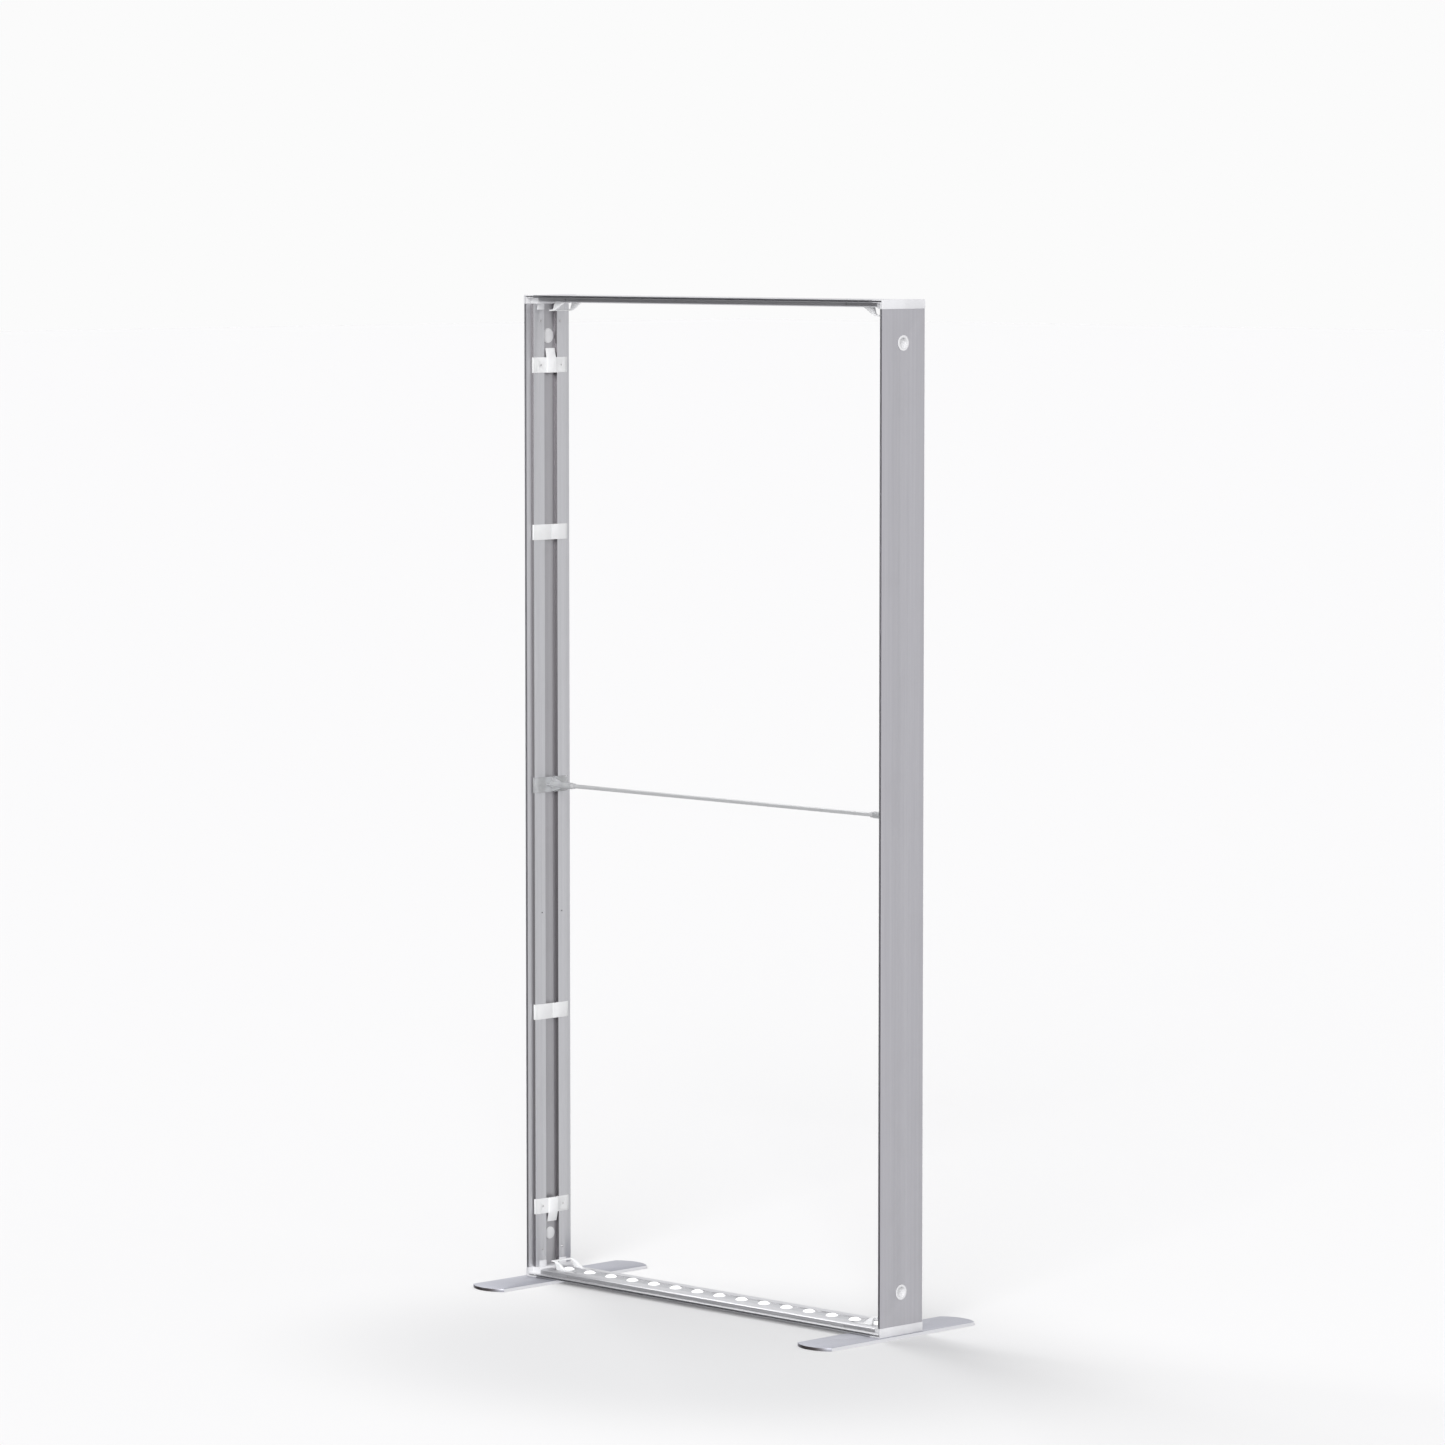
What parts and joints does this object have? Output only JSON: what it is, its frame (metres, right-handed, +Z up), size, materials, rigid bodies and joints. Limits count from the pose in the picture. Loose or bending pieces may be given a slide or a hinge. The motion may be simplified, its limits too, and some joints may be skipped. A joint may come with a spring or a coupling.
{
  "type": "illuminated fabric frame partition",
  "caption": "Free-standing double-sided light frame of grooved aluminium profiles on flat feet, with a light bar, lever latches and a middle brace.",
  "frame": {"origin": "on the floor, at the middle of the frame's footprint", "axes": "+Z up, +X along the frame's width, +Y through its depth from front to back"},
  "size_m": [1.014, 0.436, 2.006],
  "materials": {
    "anodised_profile": "satin natural anodised",
    "cap_plastic": "fine matt moulded",
    "spigot_steel": "zinc plated",
    "white_plastic": "fine matt moulded",
    "plug_plastic": "semi-matt moulded",
    "clear_plastic": "translucent",
    "collar_rubber": "soft grey",
    "brace_aluminium": "drawn satin",
    "foot_steel": "fine textured powder coat",
    "tray_aluminium": "mill finish",
    "board_face": "white solder mask",
    "end_cap_plastic": "moulded",
    "lens_diffuser": "frosted diffuser",
    "socket_plastic": "moulded",
    "fastener_steel": "bright zinc"
  },
  "bodies": {
    "frame": {"bottom_left_corner_cap": "cap_plastic", "bottom_left_rail_spigots": "spigot_steel", "bottom_left_side_plug": "plug_plastic", "bottom_left_upright_spigots": "spigot_steel", "bottom_rail": "anodised_profile", "bottom_right_corner_cap": "cap_plastic", "bottom_right_rail_spigots": "spigot_steel", "bottom_right_side_plug": "plug_plastic", "bottom_right_upright_spigots": "spigot_steel", "brace_tube": "brace_aluminium", "clip_screws": "fastener_steel", "corner_screws": "fastener_steel", "foot_screws": "fastener_steel", "latch_pins": "fastener_steel", "led_board": "board_face", "led_end_caps": "end_cap_plastic", "led_lenses": "lens_diffuser", "led_tray": "tray_aluminium", "left_bottom_tab_clip": "white_plastic", "left_brace_bracket": "clear_plastic", "left_brace_collar": "collar_rubber", "left_foot": "foot_steel", "left_lower_channel_clip": "white_plastic", "left_plug_nut": "plug_plastic", "left_top_tab_clip": "white_plastic", "left_upper_channel_clip": "white_plastic", "left_upright": "anodised_profile", "power_socket": "socket_plastic", "right_bottom_tab_clip": "white_plastic", "right_brace_bracket": "clear_plastic", "right_brace_collar": "collar_rubber", "right_foot": "foot_steel", "right_lower_channel_clip": "white_plastic", "right_plug_nut": "plug_plastic", "right_top_tab_clip": "white_plastic", "right_upper_channel_clip": "white_plastic", "right_upright": "anodised_profile", "top_left_corner_cap": "cap_plastic", "top_left_rail_spigots": "spigot_steel", "top_left_side_plug": "plug_plastic", "top_left_upright_spigots": "spigot_steel", "top_rail": "anodised_profile", "top_right_corner_cap": "cap_plastic", "top_right_rail_spigots": "spigot_steel", "top_right_side_plug": "plug_plastic", "top_right_upright_spigots": "spigot_steel"},
    "bottom_left_lever": {"bottom_left_latch_lever": "white_plastic"},
    "bottom_right_lever": {"bottom_right_latch_lever": "white_plastic"},
    "top_left_lever": {"top_left_latch_lever": "white_plastic"},
    "top_right_lever": {"top_right_latch_lever": "white_plastic"}
  },
  "joints": [
    {"name": "bottom_left_latch_hinge", "type": "hinge", "parent": "frame", "child": "bottom_left_lever", "pos_m": [-0.392, 0, 0.0155], "axis": [0, 1, 0], "range_deg": [0, 75]},
    {"name": "bottom_right_latch_hinge", "type": "hinge", "parent": "frame", "child": "bottom_right_lever", "pos_m": [0.392, 0, 0.0155], "axis": [0, -1, 0], "range_deg": [0, 75]},
    {"name": "top_left_latch_hinge", "type": "hinge", "parent": "frame", "child": "top_left_lever", "pos_m": [-0.392, 0, 1.9965], "axis": [0, -1, 0], "range_deg": [0, 75]},
    {"name": "top_right_latch_hinge", "type": "hinge", "parent": "frame", "child": "top_right_lever", "pos_m": [0.392, 0, 1.9965], "axis": [0, 1, 0], "range_deg": [0, 75]}
  ]
}
